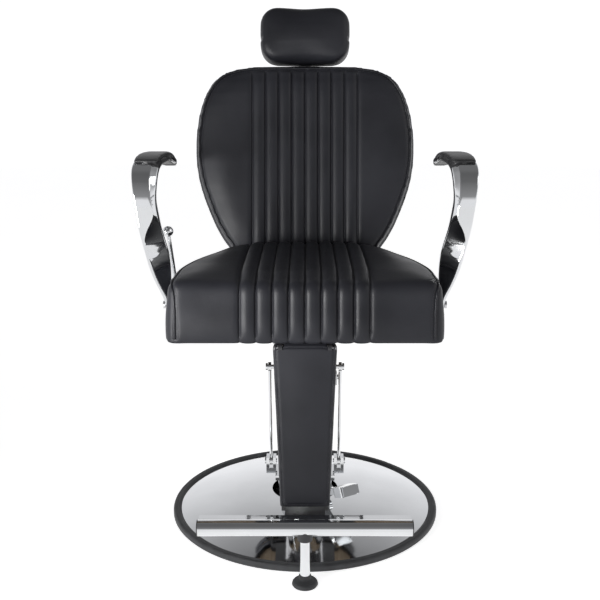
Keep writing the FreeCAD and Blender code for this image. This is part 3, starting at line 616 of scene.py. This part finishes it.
def outline(piece, to_plane, centre, count=240):
    """The outline of a piece seen along an axis, as rows of two numbers round a centre."""
    flat = to_plane(points_of(piece.data)) - np.array(centre)
    angle = np.arctan2(flat[:, 1], flat[:, 0])
    slot = ((angle + math.pi) / (2 * math.pi) * count).astype(int) % count
    reach = np.zeros(count)
    np.maximum.at(reach, slot, np.linalg.norm(flat, axis=1))
    for index in range(count):
        if reach[index] == 0:
            reach[index] = reach[index - 1]
    turned = (np.arange(count) + 0.5) / count * 2 * math.pi - math.pi
    ring = np.column_stack([np.cos(turned), np.sin(turned)]) * reach[:, None]
    smooth = sum(np.roll(ring, k, axis=0) for k in (-2, -1, 0, 1, 2)) / 5
    return smooth + np.array(centre)


def inset(ring, distance):
    """A closed outline moved inwards."""
    ahead = np.roll(ring, -2, axis=0) - np.roll(ring, 2, axis=0)
    ahead /= np.linalg.norm(ahead, axis=1, keepdims=True)
    inward = np.column_stack([-ahead[:, 1], ahead[:, 0]])
    return ring + inward * distance


def on_back(x, s, n):
    """A place in the back's own frame: s up along it, n behind its middle."""
    sine = math.sin(BACK_TILT)
    cosine = math.cos(BACK_TILT)
    return Vector((x, BACK_PIVOT.y + s * sine + n * cosine, BACK_PIVOT.z + s * cosine - n * sine))


def back_plane(places):
    """Rows of (x, s) for rows of places."""
    height = (places[:, 1] - BACK_PIVOT.y) * math.sin(BACK_TILT)
    height += (places[:, 2] - BACK_PIVOT.z) * math.cos(BACK_TILT)
    return np.column_stack([places[:, 0], height])


def back_depth(places):
    """How far places are behind the back's middle."""
    return ((places[:, 1] - BACK_PIVOT.y) * math.cos(BACK_TILT)
            - (places[:, 2] - BACK_PIVOT.z) * math.sin(BACK_TILT))


def on_leg(x, u, n):
    """A place in the leg rest's own frame: u down along it, n behind its hinge."""
    sine = math.sin(LEG_TILT)
    cosine = math.cos(LEG_TILT)
    return Vector((x, LEG_PIVOT.y - u * sine + n * cosine, LEG_PIVOT.z - u * cosine - n * sine))


def edge_seams(name, piece, ring, insets, start, direction):
    """A welt and a row of stitches round a face of the back, looked for from a start depth."""
    for sew, kind, distance in zip((sewn_line, stitched_line), ("_welt", "_stitches"), insets):
        origins = [on_back(x, s, start) for x, s in inset(ring, distance)]
        path = [place for place, _ in cast(surface_of(piece), origins, direction)]
        sew(name + kind, piece, path, "backrest", closed=True)


def leg_plane(places):
    """Rows of (x, -u) for rows of places."""
    down = -(places[:, 1] - LEG_PIVOT.y) * math.sin(LEG_TILT)
    down -= (places[:, 2] - LEG_PIVOT.z) * math.cos(LEG_TILT)
    return np.column_stack([places[:, 0], -down])


def leg_depth(places):
    """How far places are behind the leg rest's hinge."""
    return ((places[:, 1] - LEG_PIVOT.y) * math.cos(LEG_TILT)
            - (places[:, 2] - LEG_PIVOT.z) * math.sin(LEG_TILT))


def finish_pad(piece, body, nodes, material):
    """Shades a padded piece, gives it its material, hangs it on its body, and hides the CAD solids it stands for.
    """
    only(piece)
    bpy.ops.object.shade_smooth()
    give(piece, material)
    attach(piece, body)
    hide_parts(*nodes)


# ---------------------------------------------------------------- pieces
class BARBER_OT_finishes(bpy.types.Operator):
    """Makes the finishes and puts them on the metal, rubber and wood"""

    bl_idname = "barber.finishes"
    bl_label = "Finishes"

    def execute(self, context):
        soft = context.scene.barber_upholstery
        hard = context.scene.barber_metal
        vinyl_finish("cover_vinyl", soft.vinyl_colour, soft.grain_size)
        vinyl_finish("welt_vinyl", [c * 0.8 for c in soft.vinyl_colour], 0.0010, (0.34, 0.44))
        pad_finish("arm_urethane", soft.pad_colour)
        pad_finish("thread", [c * 1.3 for c in soft.vinyl_colour])
        by_slot = {
            "chrome": chrome_finish("chrome_plate", hard.chrome_colour),
            "steel": steel_finish("zinc_steel", hard.steel_colour),
            "frame_paint": paint_finish("powder_coat", hard.paint_colour),
            "rubber": rubber_finish("ring_rubber", hard.rubber_colour),
            "plywood": plywood_finish("board_plywood", hard.plywood_colour),
            "vinyl": finish_named("cover_vinyl"),
            "pad_plastic": finish_named("arm_urethane"),
        }
        for part in FRAME["record"]["subparts"]:
            give(FRAME["nodes"][part["node"]], by_slot[part["material_slot"]])
        return {"FINISHED"}


class BARBER_OT_seat(bpy.types.Operator):
    """Upholsters the seat box with its sewn channels and side seams"""

    bl_idname = "barber.seat"
    bl_label = "Seat cushion"

    def execute(self, context):
        low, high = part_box("seat_cushion")
        piece = remeshed("seat_vinyl", ["seat_cushion"], 0.0062, 6)
        places = points_of(piece.data)
        normals = normals_of(piece.data)
        outward = places[:, :2] / np.linalg.norm(places[:, :2], axis=1, keepdims=True)
        inner = np.sum(outward * normals[:, :2], axis=1) < 0.1
        held = (normals[:, 2] < -0.5) | (inner & (places[:, 2] < high.z - 0.085))
        swell(piece, held, 0.007, 0.010)
        cut_lines(piece, channel_seams(), SEAM_LINES)
        apply_modifier(piece, "SUBSURF", levels=1, render_levels=1)
        places = points_of(piece.data)
        normals = normals_of(piece.data)
        top = np.clip((normals[:, 2] - 0.2) / 0.4, 0, 1)
        front = np.clip((-normals[:, 1] - 0.2) / 0.4, 0, 1)
        hem = (places[:, 1] < low.y + 0.03) & (normals[:, 2] < 0)
        front *= np.clip((places[:, 2] - low.z) / 0.02, 0.35, 1)
        outside = ~((places[:, 2] < high.z - 0.085) & (places[:, 1] > low.y + 0.02))
        sew_channels(piece, np.maximum(np.maximum(top, front), hem * 0.25) * outside)
        self.hang_hem(piece, low)
        give(piece, finish_named("cover_vinyl"))
        ring = inset(outline(piece, lambda rows: rows[:, :2], (0, -0.05)), 0.011)
        for side, label in ((-1, "right"), (1, "left")):
            edge = [(x, y, high.z) for x, y in ring if x * side > 0.1 and y > low.y + 0.045]
            edge.sort(key=lambda place: place[1])
            guides = [(side * 0.2515, low.y, low.z + 0.006), (side * 0.2515, low.y, high.z - 0.05),
                      (side * 0.2535, low.y + 0.004, high.z - 0.024),
                      (side * 0.2575, low.y + 0.018, high.z - 0.008)] + edge
            path = rounded_path(guides)
            sewn_line("seat_welt_" + label, piece, path, "seat", radius=0.0024)
            topstitch = [(x - side * 0.0075, y, z) for x, y, z in path]
            stitched_line("seat_stitches_" + label, piece, topstitch, "seat")
        finish_pad(piece, "seat", ["seat_cushion"], finish_named("cover_vinyl"))
        return {"FINISHED"}

    def hang_hem(self, piece, low):
        """Lets the lower edge of the cover hang a little below the board."""
        places = points_of(piece.data)
        near = np.clip((low.z + 0.04 - places[:, 2]) / 0.04, 0, 1) ** 2
        rim = np.maximum((low.y + 0.034 - places[:, 1]) / 0.01,
                         (np.abs(places[:, 0]) - 0.245) / 0.01)
        places[:, 2] -= HEM_DROP * near * np.clip(rim, 0, 1)
        put_points(piece.data, places)


class BARBER_OT_back(bpy.types.Operator):
    """Upholsters the front of the back with sewn channels and a welted edge"""

    bl_idname = "barber.back"
    bl_label = "Back cushion"

    def execute(self, context):
        piece = remeshed("back_vinyl", ["back_cushion"], 0.006, 5)
        places = points_of(piece.data)
        held = back_depth(places) > -0.014
        swell(piece, held, 0.006, 0.009)
        cut_lines(piece, channel_seams(), SEAM_LINES)
        apply_modifier(piece, "SUBSURF", levels=1, render_levels=1)
        places = points_of(piece.data)
        normals = normals_of(piece.data)
        ring = outline(piece, back_plane, (0, 0.33))
        facing = -(normals[:, 1] * math.cos(BACK_TILT) - normals[:, 2] * math.sin(BACK_TILT))
        top = np.interp(np.abs(places[:, 0]), [0, 0.11, 0.18], [0.550, 0.548, 0.538])
        below = np.clip((top - back_plane(places)[:, 1]) / 0.012, 0, 1)
        sew_channels(piece, np.clip((facing - 0.5) / 0.3, 0, 1) * below)
        give(piece, finish_named("cover_vinyl"))
        front = tuple(on_back(0, 0, 1) - on_back(0, 0, 0))
        edge_seams("back", piece, ring, (0.0108, 0.0175), -0.2, front)
        finish_pad(piece, "backrest", ["back_cushion"], finish_named("cover_vinyl"))
        return {"FINISHED"}


class BARBER_OT_back_shell(bpy.types.Operator):
    """Upholsters the rear of the back"""

    bl_idname = "barber.back_shell"
    bl_label = "Back shell"

    def execute(self, context):
        piece = remeshed("back_rear_vinyl", ["back_shell"], 0.006, 4)
        places = points_of(piece.data)
        normals = normals_of(piece.data)
        depth = back_depth(places)
        facing = normals[:, 1] * math.cos(BACK_TILT) - normals[:, 2] * math.sin(BACK_TILT)
        held = (depth < 0.0) | ((facing < 0.2) & (depth < 0.036))
        swell(piece, held, 0.004, 0.006)
        apply_modifier(piece, "SUBSURF", levels=1, render_levels=1)
        give(piece, finish_named("cover_vinyl"))
        ring = outline(piece, back_plane, (0, 0.33))
        rear = tuple(on_back(0, 0, -1) - on_back(0, 0, 0))
        edge_seams("back_rear", piece, ring, (0.016, 0.024), 0.2, rear)
        finish_pad(piece, "backrest", ["back_shell"], finish_named("cover_vinyl"))
        return {"FINISHED"}


class BARBER_OT_headrest(bpy.types.Operator):
    """Upholsters the headrest with its end seams"""

    bl_idname = "barber.headrest"
    bl_label = "Headrest"

    def execute(self, context):
        piece = remeshed("headrest_vinyl", ["headrest_cushion"], 0.0045, 8)
        places = points_of(piece.data)
        held = (back_depth(places) > 0.034) & (np.abs(places[:, 0]) < 0.05)
        swell(piece, held, 0.006, 0.009)
        apply_modifier(piece, "SUBSURF", levels=1, render_levels=1)
        give(piece, finish_named("cover_vinyl"))
        for side, label in ((-1, "right"), (1, "left")):
            guides = [on_back(side * 0.2, 0.624 - 0.06 * abs(n + 0.003), n)
                      for n in np.linspace(-0.036, 0.03, 12)]
            hits = cast(surface_of(piece), guides, (-side, 0, 0))
            path = even_path([place for place, _ in hits], 0.003)
            press(piece, path, 0.0035, 0.0045)
            stitched_line("headrest_stitches_" + label, piece, path, "headrest")
        finish_pad(piece, "headrest", ["headrest_cushion"], finish_named("cover_vinyl"))
        return {"FINISHED"}


class BARBER_OT_leg_panel(bpy.types.Operator):
    """Upholsters the leg rest panel with its edge seams"""

    bl_idname = "barber.leg_panel"
    bl_label = "Leg rest panel"

    def execute(self, context):
        piece = remeshed("legrest_vinyl", ["legrest_cushion"], 0.0045, 3)
        places = points_of(piece.data)
        normals = normals_of(piece.data)
        facing = normals[:, 1] * math.cos(LEG_TILT) - normals[:, 2] * math.sin(LEG_TILT)
        held = (facing > -0.2) & (leg_depth(places) > -0.004)
        swell(piece, held, 0.003, 0.005)
        apply_modifier(piece, "SUBSURF", levels=1, render_levels=1)
        give(piece, finish_named("cover_vinyl"))
        ring = outline(piece, leg_plane, (0, -0.16), 480)
        origins = [on_leg(x, -v, -0.2) for x, v in inset(ring, 0.0065)]
        behind = tuple(on_leg(0, 0, 1) - on_leg(0, 0, 0))
        path = [place for place, _ in cast(surface_of(piece), origins, behind)]
        press(piece, even_path(path, 0.003, True), 0.0012, 0.0020)
        stitched_line("legrest_stitches", piece, path, "legrest", closed=True)
        finish_pad(piece, "legrest", ["legrest_cushion"], finish_named("cover_vinyl"))
        return {"FINISHED"}


class BARBER_OT_arm_pads(bpy.types.Operator):
    """Moulds the pads round the level part of the arms"""

    bl_idname = "barber.arm_pads"
    bl_label = "Arm pads"

    def execute(self, context):
        pads = []
        for side, node in ((-1, "arm_right"), (1, "arm_left")):
            edge = (side * PAD_EDGE[0], *PAD_EDGE[1:])
            upward = Vector((-side * PAD_SLOPE[0], PAD_SLOPE[1], 1)).normalized()
            wrap = welded_copy("wrap", node)
            keep_side(wrap, edge, upward)
            cap = welded_copy("arm_pad_" + node[4:], "arm_pads")
            keep_side(cap, (0, 0, 0), (side, 0, 0))
            bpy.ops.object.select_all(action="DESELECT")
            wrap.select_set(True)
            cap.select_set(True)
            bpy.context.view_layer.objects.active = cap
            bpy.ops.object.join()
            apply_modifier(cap, "REMESH", mode="VOXEL", voxel_size=0.0026)
            apply_modifier(cap, "SMOOTH", factor=0.5, iterations=4)
            put_points(cap.data, points_of(cap.data) + normals_of(cap.data) * 0.0016)
            apply_modifier(cap, "SMOOTH", factor=0.5, iterations=6)
            pads.append(cap)
        for pad in pads:
            finish_pad(pad, "seat", ["arm_pads"], finish_named("arm_urethane"))
        return {"FINISHED"}


class BARBER_OT_stage(bpy.types.Operator):
    """Sets the floor, the lights and the camera"""

    bl_idname = "barber.stage"
    bl_label = "Stage"

    def execute(self, context):
        stage = context.scene.barber_stage
        self.floor(stage)
        self.sky(context.scene)
        self.light("key_light", (-1.0, -1.15, 0.6), (0, 0.05, 0.62), 0.6, stage.key_power, 70)
        self.light("right_light", (2.6, -1.2, 2.2), (0, 0, 0.5), 1.4, stage.side_power, 120)
        data = bpy.data.cameras.new("camera")
        data.lens = stage.lens
        data.shift_x = -5 / 600
        camera = bpy.data.objects.new("camera", data)
        context.scene.collection.objects.link(camera)
        camera.location = (0, -stage.camera_distance, stage.camera_height)
        camera.rotation_euler = (math.pi / 2 - stage.camera_pitch, 0, 0)
        context.scene.camera = camera
        context.scene.view_settings.view_transform = "Standard"
        return {"FINISHED"}

    def floor(self, stage):
        """A pale round floor."""
        bpy.ops.object.select_all(action="DESELECT")
        bpy.ops.mesh.primitive_circle_add(vertices=96, radius=stage.floor_radius,
                                          fill_type="NGON")
        floor = bpy.context.view_layer.objects.active
        floor.name = "floor"
        material, tree, shader, where = new_finish(
            "floor_paper", Specular_IOR_Level=0.0, Emission_Color=(1, 1, 1, 1),
            Emission_Strength=0.70)
        tone = noise(tree, where, 1.5, 2)
        two_tone(tree, shader, spread(tree, tone, 0, 1), (0.88, 0.88, 0.88), 1.02)
        tree.links.new(spread(tree, tone, 0.75, 0.85), shader.inputs["Roughness"])
        give(floor, material)

    def sky(self, scene):
        """White at the horizon, pale overhead, and darker high up in front of the chair."""
        world = bpy.data.worlds.new("studio")
        scene.world = world
        world.use_nodes = True
        tree = world.node_tree
        where = add_node(tree, "ShaderNodeTexCoord").outputs["Generated"]
        parts = add_node(tree, "ShaderNodeSeparateXYZ", Vector=where).outputs
        rear = self.ramp(tree, parts["Z"], ((0.14, 1.05), (0.5, 0.7), (0.85, 0.18)))
        front = self.ramp(tree, parts["Z"], ((0.07, 1.0), (0.16, 0.32), (0.6, 0.16), (0.9, 0.14)))
        side = add_node(tree, "ShaderNodeMapRange", {"interpolation_type": "SMOOTHSTEP"},
                        Value=parts["Y"], From_Min=-0.35, From_Max=0.2).outputs[0]
        mix = tree.nodes.new("ShaderNodeMix")
        mix.data_type = "RGBA"
        tree.links.new(side, mix.inputs[0])
        tree.links.new(front, mix.inputs[6])
        tree.links.new(rear, mix.inputs[7])
        tree.links.new(mix.outputs[2], tree.nodes["Background"].inputs["Color"])

    def ramp(self, tree, height, stops):
        """Grey by height."""
        node = tree.nodes.new("ShaderNodeValToRGB")
        tree.links.new(height, node.inputs[0])
        stack = node.color_ramp.elements
        while len(stack) < len(stops):
            stack.new(0.5)
        for element, (position, grey) in zip(stack, stops):
            element.position = position
            element.color = (grey, grey, grey * 1.02, 1)
        return node.outputs[0]

    def light(self, name, place, aim, size, power, spread_degrees):
        """A large soft square light."""
        data = bpy.data.lights.new(name, "AREA")
        data.size = size
        data.energy = power
        data.spread = math.radians(spread_degrees)
        lamp = bpy.data.objects.new(name, data)
        bpy.context.scene.collection.objects.link(lamp)
        lamp.location = place
        lamp.visible_camera = False
        lamp.rotation_euler = (Vector(aim) - Vector(place)).to_track_quat("-Z", "Y").to_euler()


class BARBER_PT_panel(bpy.types.Panel):
    """Lists the chair's pieces"""

    bl_label = "Barber chair"
    bl_idname = "BARBER_PT_panel"
    bl_space_type = "VIEW_3D"
    bl_region_type = "UI"
    bl_category = "Barber chair"

    def draw(self, context):
        for settings in ("barber_upholstery", "barber_metal", "barber_stage"):
            group = getattr(context.scene, settings)
            box = self.layout.box()
            for name in group.bl_rna.properties.keys():
                if name not in ("rna_type", "name"):
                    box.prop(group, name)
        for operator in OPERATORS:
            self.layout.operator(operator.bl_idname)


OPERATORS = (
    BARBER_OT_finishes, BARBER_OT_seat, BARBER_OT_back, BARBER_OT_back_shell,
    BARBER_OT_headrest, BARBER_OT_leg_panel, BARBER_OT_arm_pads, BARBER_OT_stage,
)
SETTINGS = (UpholsterySettings, MetalSettings, StageSettings)


def register():
    for item in SETTINGS + OPERATORS + (BARBER_PT_panel,):
        bpy.utils.register_class(item)
    scene = bpy.types.Scene
    scene.barber_upholstery = bpy.props.PointerProperty(type=UpholsterySettings)
    scene.barber_metal = bpy.props.PointerProperty(type=MetalSettings)
    scene.barber_stage = bpy.props.PointerProperty(type=StageSettings)


def unregister():
    del bpy.types.Scene.barber_stage
    del bpy.types.Scene.barber_metal
    del bpy.types.Scene.barber_upholstery
    for item in reversed(SETTINGS + OPERATORS + (BARBER_PT_panel,)):
        bpy.utils.unregister_class(item)


def main():
    """Builds the whole chair."""
    register()
    bpy.ops.barber.finishes()
    bpy.ops.barber.seat()
    bpy.ops.barber.back()
    bpy.ops.barber.back_shell()
    bpy.ops.barber.headrest()
    bpy.ops.barber.leg_panel()
    bpy.ops.barber.arm_pads()
    bpy.ops.barber.stage()


if __name__ == "__main__":
    main()
